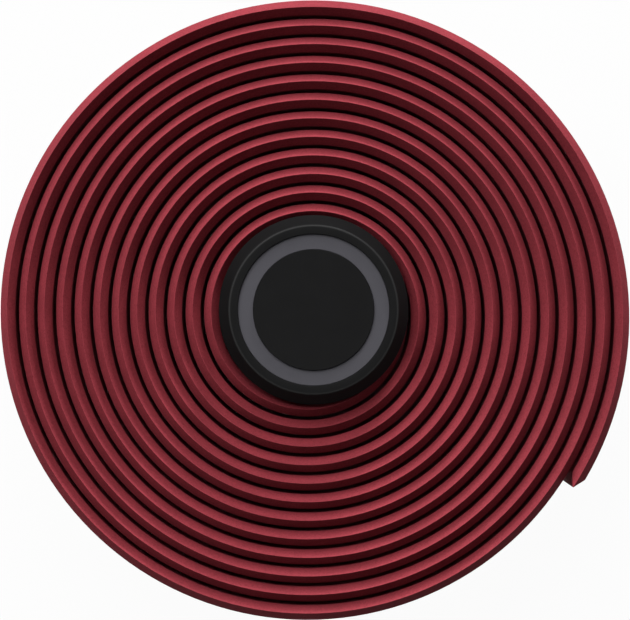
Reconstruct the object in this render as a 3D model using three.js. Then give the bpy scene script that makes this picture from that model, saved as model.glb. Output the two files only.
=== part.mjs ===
// A roll of bicycle handlebar tape, standing on its end, with a bar-end plug pushed into its middle.
// Millimetres, +Z up along the roll's axis. The roll stands on the lower edges of its turns, at z = 0.
import * as THREE from "three";
import { mergeVertices } from "three/addons/utils/BufferGeometryUtils.js";

// Tape
const rollRadius = 51.12; // from the spiral's centre to the tape's outer face at its outer end
const tapeWidth = 32;
const tapeThickness = 2.64;
const bevelDepth = 2; // how far the edges' double bevel reaches into the tape
const ridgeLand = 0.3; // flat left along the ridge, in mid-thickness
const turnGap = 0.3; // air between one turn and the next
const outerEndAngle = THREE.MathUtils.degToRad(-33.3); // where the tape's outer end lies, from +X
const windingClearance = 0.36; // from the plug's fins to the innermost turn
const chordError = 0.12; // how far a flat step may stray from the true spiral

// Plug head
const headRadius = 15;
const headHeight = 4.4;
const headLip = 0.5; // upright edge below the leaning side
const headLean = 1.7; // how far the side leans in from the lip to the rim
const headRimRound = 0.35;
const headRimWidth = 1.5; // from the top of the leaning side to the groove
const headTopWall = 2.6; // closed thickness above the barrel's bore
const grooveWidth = 2.2;
const grooveDepth = 1.3;
const roundSteps = 3;

// Plug barrel
const finRadius = 9.9;
const finReach = 2; // how far the fins stand out from the barrel
const finCount = 4;
const finRootHeight = 1.6;
const finTipHeight = 0.7;
const barrelWall = 1.7;
const barrelStandoff = 9; // from the roll's lower face up to the barrel's end
const barrelChamfer = 0.6;

// Inlay ring
const inlaySink = 0.6; // how far the inlay's face lies below the rim
const inlayClearance = 0.05;

const plugSegments = 48;

// Worked out from the sizes above
const turnPitch = tapeThickness + turnGap;
const innerRadius = finRadius + windingClearance + tapeThickness / 2; // mid-thickness at the inner end
const outerRadius = rollRadius - tapeThickness / 2; // mid-thickness at the outer end
const windingAngle = ((outerRadius - innerRadius) / turnPitch) * 2 * Math.PI; // about 13 turns
const headTopRadius = headRadius - headLean;
const grooveOuterRadius = headTopRadius - headRimWidth;
const grooveInnerRadius = grooveOuterRadius - grooveWidth;
const barrelRadius = finRadius - finReach;
const boreRadius = barrelRadius - barrelWall;
const barrelLength = tapeWidth - barrelStandoff;

const tapeMaterial = new THREE.MeshStandardMaterial({ color: 0x9c3440, roughness: 0.75, metalness: 0 });
const plugMaterial = new THREE.MeshStandardMaterial({ color: 0x1c1c1c, roughness: 0.55, metalness: 0 });
const inlayMaterial = new THREE.MeshStandardMaterial({ color: 0x504f54, roughness: 0.5, metalness: 0 });

// Mid-thickness radius at a winding angle, which is counted from the outer end inwards.
function spiralRadius(angle) {
  return outerRadius - (turnPitch * angle) / (2 * Math.PI);
}

// Winding angles of the tape's cross-sections. A chord's error grows with its length squared over the radius,
// so steps that are even in radius to the power 1.5 all stray equally little.
function sectionAngles() {
  const first = bevelDepth / outerRadius;
  const last = windingAngle - bevelDepth / innerRadius;
  const power = 1.5;
  const from = spiralRadius(first) ** power;
  const to = spiralRadius(last) ** power;
  const anglePerRadius = (2 * Math.PI) / turnPitch;
  const steps = Math.ceil((anglePerRadius * (from - to)) / power / Math.sqrt(8 * chordError));
  const angles = [0];
  for (let i = 0; i <= steps; i++) {
    const radius = (from + ((to - from) * i) / steps) ** (1 / power);
    angles.push((outerRadius - radius) * anglePerRadius);
  }
  angles.push(windingAngle);
  return angles;
}

// Outline of the tape's cross-section as [offset from mid-thickness, height]. The bevel has its full depth
// along the tape, and shrinks to a thin strip where the cut end carries the same bevel.
function sectionOutline(depth) {
  const land = ridgeLand / 2;
  const half = land + ((tapeThickness / 2 - land) * depth) / bevelDepth;
  return [
    [land, 0],
    [half, depth],
    [half, tapeWidth - depth],
    [land, tapeWidth],
    [-land, tapeWidth],
    [-half, tapeWidth - depth],
    [-half, depth],
    [-land, 0],
  ];
}

// A closed solid through a row of outlines that hold the same number of points, capped at both ends.
function solidThroughOutlines(outlines) {
  const vertices = outlines.flat();
  const around = outlines[0].length;
  const corners = [];
  for (let k = 0; k + 1 < outlines.length; k++) {
    for (let i = 0; i < around; i++) {
      const next = (i + 1) % around;
      const near = k * around;
      const far = near + around;
      corners.push(near + i, far + i, far + next, near + i, far + next, near + next);
    }
  }
  const end = (outlines.length - 1) * around;
  for (let i = 1; i + 1 < around; i++) {
    corners.push(0, i, i + 1, end, end + i + 1, end + i);
  }
  const geometry = new THREE.BufferGeometry();
  geometry.setAttribute("position", new THREE.Float32BufferAttribute(vertices.flat(), 3));
  geometry.setIndex(corners);
  return withoutCollapsedFaces(mergeVertices(geometry));
}

// Drops the faces whose corners fall together where an outline narrows to a strip.
function withoutCollapsedFaces(geometry) {
  const index = geometry.index.array;
  const kept = [];
  for (let i = 0; i < index.length; i += 3) {
    const [a, b, c] = index.slice(i, i + 3);
    if (a !== b && b !== c && c !== a) kept.push(a, b, c);
  }
  geometry.setIndex(kept);
  geometry.computeVertexNormals();
  return geometry;
}

function makeTape() {
  const angles = sectionAngles();
  const outlines = angles.map((angle, i) => {
    const atEnd = i === 0 || i === angles.length - 1;
    const radius = spiralRadius(angle);
    const direction = outerEndAngle + angle;
    return sectionOutline(atEnd ? 0 : bevelDepth).map(([offset, height]) => [
      (radius + offset) * Math.cos(direction),
      (radius + offset) * Math.sin(direction),
      height,
    ]);
  });
  const tape = new THREE.Mesh(solidThroughOutlines(outlines), tapeMaterial);
  tape.name = "tape";
  return tape;
}

// Turns a profile of [radius, height] points about the Z axis.
function turned(profile) {
  const points = profile.map(([radius, height]) => new THREE.Vector2(radius, height));
  return new THREE.LatheGeometry(points, plugSegments).rotateX(Math.PI / 2);
}

// Ring fins along the barrel, from its end up: each slopes out from below, so that the plug pushes in easily.
function finProfile() {
  const spacing = (barrelLength - barrelChamfer) / finCount;
  const points = [];
  for (let i = 0; i < finCount; i++) {
    const foot = -barrelLength + barrelChamfer + i * spacing;
    points.push([barrelRadius, foot]);
    points.push([finRadius, foot + finRootHeight - finTipHeight]);
    points.push([finRadius, foot + finRootHeight]);
    points.push([barrelRadius, foot + finRootHeight]);
  }
  return points;
}

// The rounded edge between the head's leaning side and its flat rim.
function rimProfile() {
  const lean = Math.atan2(headLean, headHeight - headLip);
  const centreRadius = headTopRadius - headRimRound * Math.tan((Math.PI / 2 - lean) / 2);
  const points = [];
  for (let i = 0; i <= roundSteps; i++) {
    const turn = lean + ((Math.PI / 2 - lean) * i) / roundSteps;
    points.push([
      centreRadius + headRimRound * Math.cos(turn),
      headHeight - headRimRound + headRimRound * Math.sin(turn),
    ]);
  }
  return points;
}

// Heights are counted from the head's underside, which sits on the roll's upper face.
function makePlug() {
  const plug = new THREE.Mesh(
    turned([
      [0, headHeight - headTopWall],
      [boreRadius, headHeight - headTopWall],
      [boreRadius, -barrelLength],
      [barrelRadius - barrelChamfer, -barrelLength],
      ...finProfile(),
      [barrelRadius, 0],
      [headRadius, 0],
      [headRadius, headLip],
      ...rimProfile(),
      [grooveOuterRadius, headHeight],
      [grooveOuterRadius, headHeight - grooveDepth],
      [grooveInnerRadius, headHeight - grooveDepth],
      [grooveInnerRadius, headHeight],
      [0, headHeight],
    ]),
    plugMaterial,
  );
  plug.name = "end_plug";
  return plug;
}

// The ring lies on the groove's floor.
function makeInlay() {
  const inner = grooveInnerRadius + inlayClearance;
  const outer = grooveOuterRadius - inlayClearance;
  const floor = headHeight - grooveDepth;
  const face = headHeight - inlaySink;
  const inlay = new THREE.Mesh(
    turned([
      [inner, floor],
      [outer, floor],
      [outer, face],
      [inner, face],
      [inner, floor],
    ]),
    inlayMaterial,
  );
  inlay.name = "plug_inlay";
  return inlay;
}

// The hole that a spiral leaves is centred off the spiral's own centre, by its pitch over pi, a quarter turn
// past the inner end. The plug sits in the middle of that hole.
function plugPlace() {
  const offset = turnPitch / Math.PI;
  const direction = outerEndAngle + windingAngle + Math.PI / 2;
  return new THREE.Vector3(offset * Math.cos(direction), offset * Math.sin(direction), tapeWidth);
}

function makeRoll() {
  const plugGroup = new THREE.Group();
  plugGroup.add(makePlug(), makeInlay());
  plugGroup.position.copy(plugPlace());
  const roll = new THREE.Group();
  roll.add(makeTape(), plugGroup);
  return roll;
}

// Centres the roll's outline on the Z axis, and leaves its lower face at z = 0.
function centred(object) {
  const centre = new THREE.Box3().setFromObject(object).getCenter(new THREE.Vector3());
  object.position.set(-centre.x, -centre.y, 0);
  const frame = new THREE.Group();
  frame.add(object);
  return frame;
}

const handlebarTapeRoll = centred(makeRoll());

export default handlebarTapeRoll;
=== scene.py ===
"""A wound roll of handlebar tape with its bar-end plug, finished and lit for a studio picture.

Metres throughout, +Z up along the roll's axis, in the frame of the solid model that it is built around.
"""

import math

import bpy
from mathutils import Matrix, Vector


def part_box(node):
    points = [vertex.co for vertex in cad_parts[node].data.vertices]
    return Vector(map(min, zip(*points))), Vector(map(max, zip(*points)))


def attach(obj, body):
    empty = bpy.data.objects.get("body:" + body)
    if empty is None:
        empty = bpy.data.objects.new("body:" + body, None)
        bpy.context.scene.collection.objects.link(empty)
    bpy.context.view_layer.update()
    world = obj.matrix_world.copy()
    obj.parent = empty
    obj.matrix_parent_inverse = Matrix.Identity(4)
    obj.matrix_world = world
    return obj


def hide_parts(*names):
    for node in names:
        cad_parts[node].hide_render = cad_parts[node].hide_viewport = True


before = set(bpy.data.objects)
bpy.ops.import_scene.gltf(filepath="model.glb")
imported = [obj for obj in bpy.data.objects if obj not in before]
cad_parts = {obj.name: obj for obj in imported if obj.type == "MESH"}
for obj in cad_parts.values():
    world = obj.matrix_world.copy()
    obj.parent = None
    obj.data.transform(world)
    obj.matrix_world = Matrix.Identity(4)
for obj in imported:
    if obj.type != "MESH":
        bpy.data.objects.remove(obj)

bl_info = {
    "name": "Handlebar Tape Roll",
    "version": (1, 0, 0),
    "blender": (4, 5, 0),
    "location": "View3D > Sidebar > Tape Roll",
    "description": "Winds a roll of handlebar tape around its bar-end plug and lights it for a picture",
    "category": "Add Mesh",
}

MM = 0.001
BODY = "root"

# Edges that fold more than this are shaded as sharp.
SHARP_ANGLE = math.radians(35)

# Steps in the arcs of the tape's section and of the turned pieces.
TIP_STEPS = 3
SHOULDER_STEPS = 3
CORNER_STEPS = 4

# Every surface here is matt, so each shows only a little of the white around it.
MATT = 0.05

# Sizes of the marks in each finish, and how deep its finest grain goes.
FOAM_CLOUDS = 6 * MM
FOAM_SPECKLE = 0.4 * MM
FOAM_CELLS = 0.42 * MM
FOAM_GRAIN = 0.18 * MM
FOAM_DEPTH = 0.025 * MM
MOULDING_CLOUDS = 4 * MM
MOULDING_GRAIN = 0.14 * MM
MOULDING_DEPTH = 0.005 * MM
INLAY_CLOUDS = 3 * MM
INLAY_GRAIN = 0.12 * MM
INLAY_DEPTH = 0.004 * MM
FLOOR_GRAIN = 1.5 * MM

FLOOR_HALF_SIDE = 4.0
LAMP_DISTANCE = 2.0
KEY_RADIUS = 1.25
SIDE_RADIUS = 1.0
LOW_RADIUS = 0.25


def middle_of(node):
    """The middle of a solid's box."""
    low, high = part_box(node)
    return (low + high) / 2


def height_of(node):
    """How tall a solid is."""
    low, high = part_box(node)
    return high.z - low.z


# Settings


def length(name, description, default):
    """A size in metres that shows in the panel."""
    return bpy.props.FloatProperty(
        name=name, description=description, default=default, min=0, precision=5, unit="LENGTH"
    )


def share(name, description, default):
    """A number from 0 to 1."""
    return bpy.props.FloatProperty(
        name=name, description=description, default=default, min=0, max=1, subtype="FACTOR"
    )


def angle(name, description, degrees):
    """An angle, given in degrees and kept in radians."""
    return bpy.props.FloatProperty(
        name=name, description=description, default=math.radians(degrees), subtype="ANGLE"
    )


def colour(name, description, default):
    """A colour as red, green and blue in linear light."""
    return bpy.props.FloatVectorProperty(
        name=name, description=description, default=default, size=3, min=0, max=1, subtype="COLOR"
    )


class TapeSettings(bpy.types.PropertyGroup):
    """Sizes and finish of the wound tape."""

    width: length("Width", "Across the tape, along the roll's axis", height_of("tape"))
    thickness: length("Thickness", "Through the foam", 2.36 * MM)
    gap: length("Gap", "Air between one turn and the next", 0.58 * MM)
    turns: bpy.props.IntProperty(
        name="Turns", description="Whole turns from the outer end to the inner end", default=13, min=1
    )
    outer_end: angle("Outer end", "Direction of the outer end about the roll's axis", -33.3)
    hole_radius: length("Hole radius", "From the axis to the innermost turn at its end", 10.4 * MM)
    bevel: length("Bevel", "How far the double bevel reaches in from each edge", 2 * MM)
    land: length("Land", "Width of the ridge where the two bevels meet", 0.06 * MM)
    shoulder: length("Shoulder radius", "Rounding where a bevel meets the tape's face", 0.25 * MM)
    chord_error: length("Chord error", "How far a flat step may stray from the spiral", 0.01 * MM)
    foam: colour("Foam", "Colour of the foam", (0.378, 0.0535, 0.0705))
    # The ridge colour is a painted highlight: the foam is painted paler along its ridges.
    ridge: colour("Ridge", "Colour of the foam where its ridges are rubbed", (0.408, 0.060, 0.078))
    roughness: share("Roughness", "Roughness of the foam's skin", 0.62)


class PlugSettings(bpy.types.PropertyGroup):
    """Sizes and finish of the bar-end plug and its inlay."""

    head_radius: length("Head radius", "Widest part of the head", 15 * MM)
    head_height: length("Head height", "From the tape's ridges up to the rim", 4.4 * MM)
    head_lip: length("Lip", "Upright edge below the leaning side", 0.5 * MM)
    head_lean: length("Lean", "How far the side leans in from the lip to the rim", 1.65 * MM)
    rim_width: length("Rim width", "From the leaning side to the groove", 1.4 * MM)
    top_wall: length("Top wall", "Closed thickness above the bore", 2.6 * MM)
    groove_width: length("Groove width", "Across the ring-shaped groove", 2.45 * MM)
    groove_depth: length("Groove depth", "Down from the rim", 1.3 * MM)
    fin_radius: length("Fin radius", "Out to the tips of the ring fins", 9.9 * MM)
    fin_reach: length("Fin reach", "How far the fins stand out from the barrel", 2 * MM)
    fins: bpy.props.IntProperty(name="Fins", description="Ring fins along the barrel", default=4, min=0)
    fin_root: length("Fin root", "Height of a fin at the barrel", 1.6 * MM)
    fin_tip: length("Fin tip", "Height of a fin at its tip", 0.7 * MM)
    barrel_wall: length("Barrel wall", "Thickness of the barrel's wall", 1.7 * MM)
    barrel_chamfer: length("Barrel chamfer", "Lead-in at the barrel's end", 0.6 * MM)
    rounding: length("Rounding", "Rounding of the moulded edges", 0.15 * MM)
    rim_rounding: length("Rim rounding", "Rounding of the head's upper edge", 0.35 * MM)
    groove_rounding: length("Groove rounding", "Rounding of the groove's edges and the ring's", 0.06 * MM)
    inlay_sink: length("Inlay sink", "How far the ring's face lies below the rim", 0.35 * MM)
    inlay_clearance: length("Inlay clearance", "Around the ring in its groove", 0.03 * MM)
    moulding: colour("Moulding", "Colour of the black moulding", (0.0112, 0.0112, 0.0115))
    # The rim colour is partly rubbed wear and partly a painted highlight, painted lighter all round the
    # rim.
    highlighted: colour("Rubbed edge", "Colour of the moulding along its rim", (0.034, 0.034, 0.034))
    inlay: colour("Inlay", "Colour of the grey ring", (0.114, 0.111, 0.126))
    segments: bpy.props.IntProperty(
        name="Segments", description="Steps around a turned piece", default=192, min=12
    )


class StageSettings(bpy.types.PropertyGroup):
    """Camera, lights and floor."""

    camera_height: length("Camera height", "From the tape's ridges up to the camera", 0.604)
    view_width: length("View width", "What the picture's width shows at the ridges", 99.8 * MM)
    key_strength: share("Key", "Light from the main lamp on a face turned to it", 0.87)
    key_turn: angle("Key direction", "Direction of the main lamp about the roll's axis", 113)
    key_rise: angle("Key height", "How high the main lamp stands above the floor", 40)
    side_strength: share("Side lamps", "Light from each side lamp on a face turned to it", 0.07)
    side_turn: angle("Side direction", "From the main lamp round to the side lamps", 85)
    side_rise: angle("Side height", "How high the side lamps stand above the floor", 30)
    low_strength: share("Low lamp", "Light from the low lamp on a face turned to it", 0.5)
    low_turn: angle("Low direction", "Direction of the low lamp about the roll's axis", 73)
    low_rise: angle("Low height", "How high the low lamp stands above the floor", 8)
    ambient: share("Ambient", "Even light from all around", 0.008)
    floor: colour("Floor", "Colour of the floor", (1.0, 1.0, 1.0))
    floor_glow: share("Floor glow", "How much of the floor's white doesn't need the lamps", 0.96)
    floor_bounce: share("Floor bounce", "How much of the light on the floor it throws back", 0.06)


# Meshes


def add_piece(name, vertices, faces, material):
    """Makes a piece of the object from a closed mesh, riding on the model's one body."""
    mesh = bpy.data.meshes.new(name)
    mesh.from_pydata(vertices, [], faces)
    mesh.materials.append(material)
    piece = bpy.data.objects.new(name, mesh)
    bpy.context.scene.collection.objects.link(piece)
    mesh.shade_smooth()
    mesh.set_sharp_from_angle(angle=SHARP_ANGLE)
    piece.modifiers.new("Flat faces stay flat", "WEIGHTED_NORMAL").keep_sharp = True
    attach(piece, BODY)
    return piece


def bevel_levels(tape):
    """How the tape thickens inwards from an edge, as (distance from the edge, half thickness).

    The tip is an arc that touches both bevels, and the shoulder an arc that touches bevel and face.
    """
    half = tape.thickness / 2
    slope = math.atan2(half - tape.land / 2, tape.bevel)
    tip = tape.land / 2 * math.cos(slope) / (1 - math.sin(slope))
    tip_turn = math.pi / 2 - slope
    levels = []
    for step in range(TIP_STEPS):
        turn = tip_turn * (2 * step + 1) / (2 * TIP_STEPS - 1)
        levels.append((tip * (1 - math.cos(turn)), tip * math.sin(turn)))
    centre = tape.bevel + tape.shoulder * math.tan(slope / 2)
    for step in range(SHOULDER_STEPS + 1):
        turn = slope * (1 - step / SHOULDER_STEPS)
        distance = centre - tape.shoulder * math.sin(turn)
        levels.append((distance, half - tape.shoulder * (1 - math.cos(turn))))
    first = levels[0][0]
    return [(distance - first, thickness) for distance, thickness in levels]


def winding_stations(tape, pitch, inner, outer, levels):
    """Stations along the tape as (winding angle, greatest half thickness there).

    Its cut ends thicken as its edges do. Between them the steps are even in radius to the power 1.5, so
    that each strays equally little from the spiral.
    """
    power = 1.5
    reach, full = levels[-1]
    angle_per_radius = 2 * math.pi / pitch
    total = tape.turns * 2 * math.pi
    stations = [(distance / outer, half) for distance, half in levels]
    start = (outer - reach / outer / angle_per_radius) ** power
    stop = (inner + reach / inner / angle_per_radius) ** power
    steps = math.ceil(angle_per_radius * (start - stop) / power / math.sqrt(8 * tape.chord_error))
    for step in range(1, steps):
        radius = (start + (stop - start) * step / steps) ** (1 / power)
        stations.append(((outer - radius) * angle_per_radius, full))
    stations += [(total - distance / inner, half) for distance, half in reversed(levels)]
    return stations


def tape_mesh(tape, plug_centre):
    """Vertices and faces of the wound tape: a closed loop of points at each station along it."""
    pitch = tape.thickness + tape.gap
    inner = tape.hole_radius + tape.thickness / 2
    outer = inner + tape.turns * pitch
    offset = pitch / math.pi
    offset_turn = tape.outer_end + math.pi / 2
    centre_x = plug_centre.x - offset * math.cos(offset_turn)
    centre_y = plug_centre.y - offset * math.sin(offset_turn)

    levels = bevel_levels(tape)
    rising = levels + [(tape.width - distance, half) for distance, half in reversed(levels)]
    section = [(1, *point) for point in rising] + [(-1, *point) for point in reversed(rising)]

    vertices = []
    halves = []
    stations = winding_stations(tape, pitch, inner, outer, levels)
    for winding, limit in stations:
        radius = outer - pitch * winding / (2 * math.pi)
        turn = tape.outer_end + winding
        for side, height, half in section:
            half_here = min(half, limit)
            out = radius + side * half_here
            vertices.append((centre_x + out * math.cos(turn), centre_y + out * math.sin(turn), height))
            halves.append(half_here)
    return vertices, loop_faces(halves, len(section), len(stations))


def loop_faces(halves, around, count):
    """Triangles between neighbouring loops, folded along the mitre where two bevels meet, and end caps."""
    faces = []
    for station in range(count - 1):
        near = station * around
        far = near + around
        for point in range(around):
            after = (point + 1) % around
            a, b, c, d = near + point, far + point, far + after, near + after
            if abs(halves[a] - halves[c]) >= abs(halves[b] - halves[d]):
                faces += [(a, b, c), (a, c, d)]
            else:
                faces += [(a, b, d), (b, c, d)]
    last = (count - 1) * around
    for point in range(around // 2 - 1):
        across = around - 1 - point
        faces.append((point, point + 1, across - 1, across))
        faces.append((last + across, last + across - 1, last + point + 1, last + point))
    return faces


def rounded(corners):
    """A closed profile's corners, as (radius, height, rounding), each turned into an arc."""
    points = []
    for index, (x, z, rounding) in enumerate(corners):
        if not rounding:
            points.append((x, z))
            continue
        here = Vector((x, z))
        before = (Vector(corners[index - 1][:2]) - here).normalized()
        after = (Vector(corners[(index + 1) % len(corners)][:2]) - here).normalized()
        half = before.angle(after) / 2
        start = here + before * rounding / math.tan(half)
        end = here + after * rounding / math.tan(half)
        centre = here + (before + after).normalized() * rounding / math.sin(half)
        for step in range(CORNER_STEPS + 1):
            along = start.lerp(end, step / CORNER_STEPS)
            point = centre + (along - centre).normalized() * rounding
            points.append((point.x, point.y))
    return points


def turned_mesh(profile, centre, seat, segments):
    """Turns a profile of (radius, height) about an upright axis. A point on the axis becomes one vertex."""
    vertices = []
    rings = []
    for radius, height in profile:
        first = len(vertices)
        steps = segments if radius > 0 else 1
        for step in range(steps):
            turn = 2 * math.pi * step / segments
            place = (centre.x + radius * math.cos(turn), centre.y + radius * math.sin(turn), seat + height)
            vertices.append(place)
        rings.append([first + step % steps for step in range(segments)])
    faces = []
    for index, ring in enumerate(rings):
        above = rings[(index + 1) % len(rings)]
        if ring[0] == ring[1] and above[0] == above[1]:
            continue
        for step in range(segments):
            after = (step + 1) % segments
            corners = [ring[step], ring[after], above[after], above[step]]
            faces.append(tuple(dict.fromkeys(corners)))
    return vertices, faces


def plug_profile(plug, barrel_length):
    """The moulding's profile: down the bore from its roof, up the finned barrel and over the head."""
    small = plug.rounding
    fine = plug.groove_rounding
    barrel = plug.fin_radius - plug.fin_reach
    bore = barrel - plug.barrel_wall
    roof = plug.head_height - plug.top_wall
    head_top = plug.head_radius - plug.head_lean
    groove_outer = head_top - plug.rim_width
    groove_inner = groove_outer - plug.groove_width
    floor = plug.head_height - plug.groove_depth
    corners = [
        (0, roof, 0),
        (bore, roof, small * 2),
        (bore, -barrel_length, small),
        (barrel - plug.barrel_chamfer, -barrel_length, small),
    ]
    spacing = (barrel_length - plug.barrel_chamfer) / plug.fins
    for fin in range(plug.fins):
        foot = -barrel_length + plug.barrel_chamfer + fin * spacing
        corners += [
            (barrel, foot, small),
            (plug.fin_radius, foot + plug.fin_root - plug.fin_tip, small),
            (plug.fin_radius, foot + plug.fin_root, small),
            (barrel, foot + plug.fin_root, small),
        ]
    corners += [
        (barrel, 0, small),
        (plug.head_radius, 0, small),
        (plug.head_radius, plug.head_lip, small),
        (head_top, plug.head_height, plug.rim_rounding),
        (groove_outer, plug.head_height, fine),
        (groove_outer, floor, 0),
        (groove_inner, floor, 0),
        (groove_inner, plug.head_height, fine),
        (0, plug.head_height, 0),
    ]
    return rounded(corners)


def inlay_profile(plug):
    """The grey ring's profile, a small clearance inside its groove."""
    thickness = plug.groove_depth - plug.inlay_sink
    groove_outer = plug.head_radius - plug.head_lean - plug.rim_width
    outer = groove_outer - plug.inlay_clearance
    inner = groove_outer - plug.groove_width + plug.inlay_clearance
    fine = plug.groove_rounding
    return rounded([(inner, 0, 0), (outer, 0, 0), (outer, thickness, fine), (inner, thickness, fine)])


# Materials


class Socket:
    """A shader socket in a Python expression: each operator adds its Math node."""

    def __init__(self, paint, output):
        self.paint = paint
        self.output = output

    def beside(self, name):
        """Another output of the same node."""
        return Socket(self.paint, self.output.node.outputs[name])

    def _math(self, operation, first, second):
        return self.paint.node("ShaderNodeMath", {"operation": operation}, {0: first, 1: second})

    def __add__(self, other):
        return self._math("ADD", self, other)

    def __sub__(self, other):
        return self._math("SUBTRACT", self, other)

    def __rsub__(self, other):
        return self._math("SUBTRACT", other, self)

    def __mul__(self, other):
        return self._math("MULTIPLY", self, other)

    __radd__ = __add__
    __rmul__ = __mul__


class Paint:
    """The nodes of one material or world."""

    MIX_FACTOR = 0
    MIX_COLOURS = (6, 7)
    MIX_RESULT = 2

    def __init__(self, tree):
        self.tree = tree
        tree.nodes.clear()

    def node(self, kind, settings=None, inputs=None, output=0):
        """Adds a node: its settings first, then the values or links of its sockets."""
        made = self.tree.nodes.new(kind)
        for name, value in (settings or {}).items():
            setattr(made, name, value)
        for key, value in (inputs or {}).items():
            if isinstance(value, Socket):
                self.tree.links.new(value.output, made.inputs[key])
            else:
                made.inputs[key].default_value = value
        return Socket(self, made.outputs[output]) if made.outputs else None

    def place(self):
        """Position on the piece, in metres."""
        return self.node("ShaderNodeTexCoord", output="Object")

    def flattened(self):
        """Position on the piece, dropped to height 0 along the roll's axis."""
        vectors = {0: self.place(), 1: (1, 1, 0)}
        return self.node("ShaderNodeVectorMath", {"operation": "MULTIPLY"}, vectors)

    def distance(self, first, second):
        """How far two positions lie apart."""
        vectors = {0: first, 1: second}
        return self.node("ShaderNodeVectorMath", {"operation": "DISTANCE"}, vectors, "Value")

    def noise(self, size, detail=2.0, roughness=0.5):
        """Soft noise from 0 to 1 whose features are about this large."""
        inputs = {"Vector": self.place(), "Scale": 1 / size, "Detail": detail, "Roughness": roughness}
        return self.node("ShaderNodeTexNoise", {}, inputs)

    def cells(self, size):
        """Distance from the middle of foam cells of this size, from 0 to about 1."""
        return self.node("ShaderNodeTexVoronoi", {}, {"Vector": self.place(), "Scale": 1 / size})

    def ramp(self, value, low, high, to_low=0.0, to_high=1.0):
        """Runs smoothly from one number to another as a value passes through a range."""
        inputs = {"Value": value, "From Min": low, "From Max": high, "To Min": to_low, "To Max": to_high}
        return self.node("ShaderNodeMapRange", {"interpolation_type": "SMOOTHSTEP"}, inputs)

    def mix(self, factor, first, second):
        """A colour between two colours."""
        colours = [value if isinstance(value, Socket) else (*value, 1.0) for value in (first, second)]
        inputs = {self.MIX_FACTOR: factor, self.MIX_COLOURS[0]: colours[0], self.MIX_COLOURS[1]: colours[1]}
        return self.node("ShaderNodeMix", {"data_type": "RGBA"}, inputs, self.MIX_RESULT)

    def bump(self, height, distance):
        """A normal that follows a height, whose full range is this deep."""
        return self.node("ShaderNodeBump", {}, {"Height": height, "Distance": distance})

    def surface(self, base_colour, roughness, normal):
        """Sends a matt surface to the output."""
        inputs = {
            "Base Color": base_colour,
            "Roughness": roughness,
            "Normal": normal,
            "Specular IOR Level": MATT,
        }
        self.finish(self.node("ShaderNodeBsdfPrincipled", {}, inputs))

    def finish(self, shader):
        """Sends a shader to the output."""
        self.node("ShaderNodeOutputMaterial", {}, {"Surface": shader})


def new_material(name):
    """An empty material and the paint that fills it."""
    material = bpy.data.materials.new(name)
    material.use_nodes = True
    return material, Paint(material.node_tree)


def scaled(values, factor):
    """A colour made lighter or darker."""
    return tuple(value * factor for value in values)


def foam_material(tape):
    """Dark red foam: clouded and speckled, pitted with open cells that are painted darker as shade, and
    painted a little paler along its ridges as a highlight.
    """
    material, paint = new_material("Red foam")
    clouds = paint.noise(FOAM_CLOUDS, detail=3)
    speckle = paint.noise(FOAM_SPECKLE, detail=2)
    shade = paint.ramp(0.4 * clouds + 0.6 * speckle, 0.35, 0.65)
    foam = paint.mix(shade, scaled(tape.foam, 0.9), scaled(tape.foam, 1.1))
    height = paint.node("ShaderNodeSeparateXYZ", {}, {"Vector": paint.place()}, "Z")
    # Painted highlight: the foam is painted paler in a thin band along both edges of the tape, at its
    # ridges.
    top_ridge_highlight = paint.ramp(height, tape.width - tape.land, tape.width)
    low_ridge_highlight = 1 - paint.ramp(height, 0, tape.land)
    highlighted = paint.mix(top_ridge_highlight + low_ridge_highlight, foam, tape.ridge)
    # Painted shade: the foam is painted darker inside its open cells, where the bump dips.
    skin = paint.ramp(paint.cells(FOAM_CELLS), 0.1, 0.4)
    coloured = paint.mix(skin, scaled(tape.foam, 0.75), highlighted)
    grain = paint.noise(FOAM_GRAIN, detail=3, roughness=0.6)
    normal = paint.bump(0.6 * grain + 0.4 * skin, FOAM_DEPTH)
    paint.surface(coloured, tape.roughness + 0.12 * speckle - 0.06, normal)
    return material


def moulding_material(plug, centre):
    """Black plastic from a spark-eroded mould: an even fine grain, and a little paler along the rim, partly
    rubbed wear and partly a painted highlight.
    """
    material, paint = new_material("Black moulding")
    clouds = paint.noise(MOULDING_CLOUDS, detail=2)
    grain = paint.noise(MOULDING_GRAIN, detail=2, roughness=0.6)
    black = paint.mix(clouds, scaled(plug.moulding, 0.85), scaled(plug.moulding, 1.15))
    # Partly rubbed wear, partly a painted highlight: a thin band on the rim's rounding is painted in the
    # lighter rim colour.
    out = paint.distance(paint.flattened(), Vector((centre.x, centre.y, 0)))
    edge = plug.head_radius - plug.head_lean - plug.rim_rounding / 4
    reach = plug.rim_rounding * 0.75
    rim_wear_and_highlight = paint.ramp(out, edge - reach, edge) * paint.ramp(out, edge, edge + reach, 1, 0)
    coloured = paint.mix(rim_wear_and_highlight, black, plug.highlighted)
    paint.surface(coloured, 0.36 + 0.1 * clouds, paint.bump(grain, MOULDING_DEPTH))
    return material


def inlay_material(plug):
    """Grey plastic with a satin face."""
    material, paint = new_material("Grey inlay")
    clouds = paint.noise(INLAY_CLOUDS, detail=2)
    grain = paint.noise(INLAY_GRAIN, detail=2)
    coloured = paint.mix(clouds, scaled(plug.inlay, 0.95), scaled(plug.inlay, 1.05))
    paint.surface(coloured, 0.42 + 0.1 * clouds, paint.bump(grain, INLAY_DEPTH))
    return material


def seen_directly(paint):
    """1 for what the camera sees straight, in a mirror or through glass, and 0 for light on its way."""
    camera = paint.node("ShaderNodeLightPath", output="Is Camera Ray")
    total = camera + camera.beside("Is Glossy Ray") + camera.beside("Is Transmission Ray")
    return paint.node("ShaderNodeClamp", {}, {"Value": total})


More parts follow.
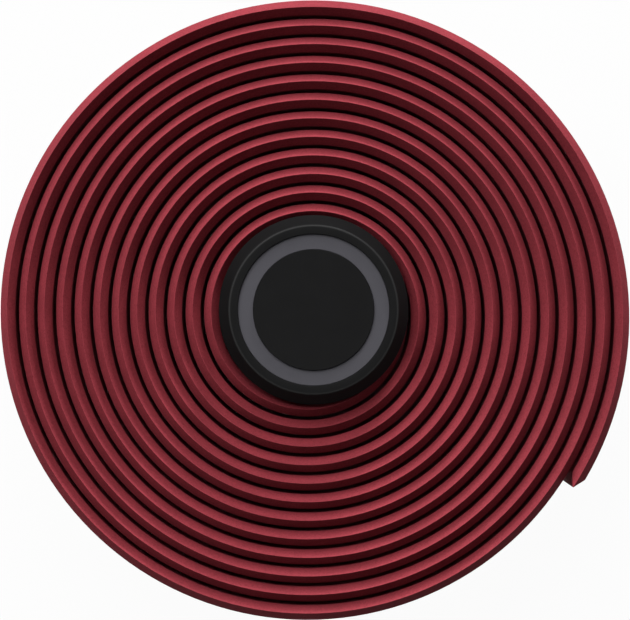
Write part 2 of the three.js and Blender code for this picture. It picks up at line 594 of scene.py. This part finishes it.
def floor_material(stage):
    """A white floor for the camera that keeps its shadows, and a dark one for the light it throws back."""
    material, paint = new_material("Pale floor")
    grain = paint.noise(FLOOR_GRAIN, detail=2)
    pale = paint.mix(grain, scaled(stage.floor, 0.995), stage.floor)
    lit = paint.node("ShaderNodeBsdfDiffuse", {}, {"Color": pale})
    glow = paint.node("ShaderNodeEmission", {}, {"Color": (*stage.floor, 1), "Strength": 1.0})
    seen = paint.node("ShaderNodeMixShader", {}, {0: stage.floor_glow, 1: lit, 2: glow})
    back = paint.node("ShaderNodeBsdfDiffuse", {}, {"Color": (*scaled(stage.floor, stage.floor_bounce), 1)})
    paint.finish(paint.node("ShaderNodeMixShader", {}, {0: seen_directly(paint), 1: back, 2: seen}))
    return material


# Stage


def direction(turn, rise):
    """The unit vector at an angle about the roll's axis and above the floor."""
    return Vector((math.cos(turn) * math.cos(rise), math.sin(turn) * math.cos(rise), math.sin(rise)))


def add_lamp(name, target, turn, rise, radius, strength):
    """A soft round lamp that gives a face turned to it this share of a plain full light."""
    lamp = bpy.data.lights.new(name, "AREA")
    lamp.shape = "DISK"
    lamp.size = 2 * radius
    lamp.energy = strength * math.pi**2 * (LAMP_DISTANCE**2 + radius**2)
    lamp.cycles.max_bounces = 0
    holder = bpy.data.objects.new(name, lamp)
    towards = direction(turn, rise)
    holder.location = target + towards * LAMP_DISTANCE
    holder.rotation_euler = towards.to_track_quat("Z", "Y").to_euler()
    bpy.context.scene.collection.objects.link(holder)


def add_floor(level, material):
    """A wide floor under the object."""
    mesh = bpy.data.meshes.new("floor")
    side = FLOOR_HALF_SIDE
    corners = [(-side, -side, level), (side, -side, level), (side, side, level), (-side, side, level)]
    mesh.from_pydata(corners, [], [(0, 1, 2, 3)])
    mesh.materials.append(material)
    floor = bpy.data.objects.new("floor", mesh)
    bpy.context.scene.collection.objects.link(floor)


def add_world(ambient):
    """White for the camera, and an even dim light for everything else."""
    world = bpy.data.worlds.new("Studio")
    world.use_nodes = True
    bpy.context.scene.world = world
    paint = Paint(world.node_tree)
    strength = paint.ramp(seen_directly(paint), 0, 1, ambient, 1)
    background = paint.node("ShaderNodeBackground", {}, {"Color": (1, 1, 1, 1), "Strength": strength})
    paint.node("ShaderNodeOutputWorld", {}, {"Surface": background})


def add_camera(stage, ridges):
    """Looks straight down the roll's axis, with the picture's upper edge towards +Y."""
    camera = bpy.data.cameras.new("camera")
    camera.lens = camera.sensor_width * stage.camera_height / stage.view_width
    holder = bpy.data.objects.new("camera", camera)
    holder.location = (0, 0, ridges + stage.camera_height)
    bpy.context.scene.collection.objects.link(holder)
    bpy.context.scene.camera = holder


# Operators


class TAPEROLL_OT_tape(bpy.types.Operator):
    """Wind the foam tape into its roll"""

    bl_idname = "taperoll.tape"
    bl_label = "Wind tape"

    def execute(self, context):
        tape = context.scene.taperoll_tape
        vertices, faces = tape_mesh(tape, middle_of("end_plug"))
        piece = add_piece("wound_tape", vertices, faces, foam_material(tape))
        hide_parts("tape")
        return {"FINISHED"}


class TAPEROLL_OT_plug(bpy.types.Operator):
    """Mould the bar-end plug"""

    bl_idname = "taperoll.plug"
    bl_label = "Mould plug"

    def execute(self, context):
        plug = context.scene.taperoll_plug
        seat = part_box("tape")[1].z
        profile = plug_profile(plug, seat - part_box("end_plug")[0].z)
        centre = middle_of("end_plug")
        vertices, faces = turned_mesh(profile, centre, seat, plug.segments)
        piece = add_piece("plug_moulding", vertices, faces, moulding_material(plug, centre))
        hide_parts("end_plug")
        return {"FINISHED"}


class TAPEROLL_OT_inlay(bpy.types.Operator):
    """Let the grey ring into the plug's head"""

    bl_idname = "taperoll.inlay"
    bl_label = "Set inlay"

    def execute(self, context):
        plug = context.scene.taperoll_plug
        profile = inlay_profile(plug)
        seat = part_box("plug_inlay")[0].z
        vertices, faces = turned_mesh(profile, middle_of("plug_inlay"), seat, plug.segments)
        piece = add_piece("grey_ring", vertices, faces, inlay_material(plug))
        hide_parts("plug_inlay")
        return {"FINISHED"}


class TAPEROLL_OT_stage(bpy.types.Operator):
    """Set the floor, lamps and camera"""

    bl_idname = "taperoll.stage"
    bl_label = "Set stage"

    def execute(self, context):
        stage = context.scene.taperoll_stage
        low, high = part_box("tape")
        target = Vector((0, 0, high.z))
        add_floor(low.z, floor_material(stage))
        add_lamp("key", target, stage.key_turn, stage.key_rise, KEY_RADIUS, stage.key_strength)
        for turn in (stage.key_turn - stage.side_turn, stage.key_turn + stage.side_turn):
            add_lamp("side", target, turn, stage.side_rise, SIDE_RADIUS, stage.side_strength)
        add_lamp("low", target, stage.low_turn, stage.low_rise, LOW_RADIUS, stage.low_strength)
        add_world(stage.ambient)
        add_camera(stage, high.z)
        context.scene.view_settings.view_transform = "Standard"
        return {"FINISHED"}


class TAPEROLL_PT_panel(bpy.types.Panel):
    """The roll's pieces and their sizes, in the 3D view's sidebar"""

    bl_idname = "TAPEROLL_PT_panel"
    bl_label = "Tape Roll"
    bl_space_type = "VIEW_3D"
    bl_region_type = "UI"
    bl_category = "Tape Roll"

    def draw(self, context):
        for operator in OPERATORS:
            self.layout.operator(operator.bl_idname)
        for name in SETTINGS:
            settings = getattr(context.scene, name)
            box = self.layout.box()
            for prop in settings.__annotations__:
                box.prop(settings, prop)


OPERATORS = (TAPEROLL_OT_tape, TAPEROLL_OT_plug, TAPEROLL_OT_inlay, TAPEROLL_OT_stage)
SETTINGS = {"taperoll_tape": TapeSettings, "taperoll_plug": PlugSettings, "taperoll_stage": StageSettings}
CLASSES = (*SETTINGS.values(), *OPERATORS, TAPEROLL_PT_panel)


def register():
    for each in CLASSES:
        bpy.utils.register_class(each)
    for name, group in SETTINGS.items():
        setattr(bpy.types.Scene, name, bpy.props.PointerProperty(type=group))


def unregister():
    for name in SETTINGS:
        delattr(bpy.types.Scene, name)
    for each in reversed(CLASSES):
        bpy.utils.unregister_class(each)


def main():
    """Builds every piece and the stage."""
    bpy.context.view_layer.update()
    register()
    bpy.ops.taperoll.tape()
    bpy.ops.taperoll.plug()
    bpy.ops.taperoll.inlay()
    bpy.ops.taperoll.stage()


if __name__ == "__main__":
    main()
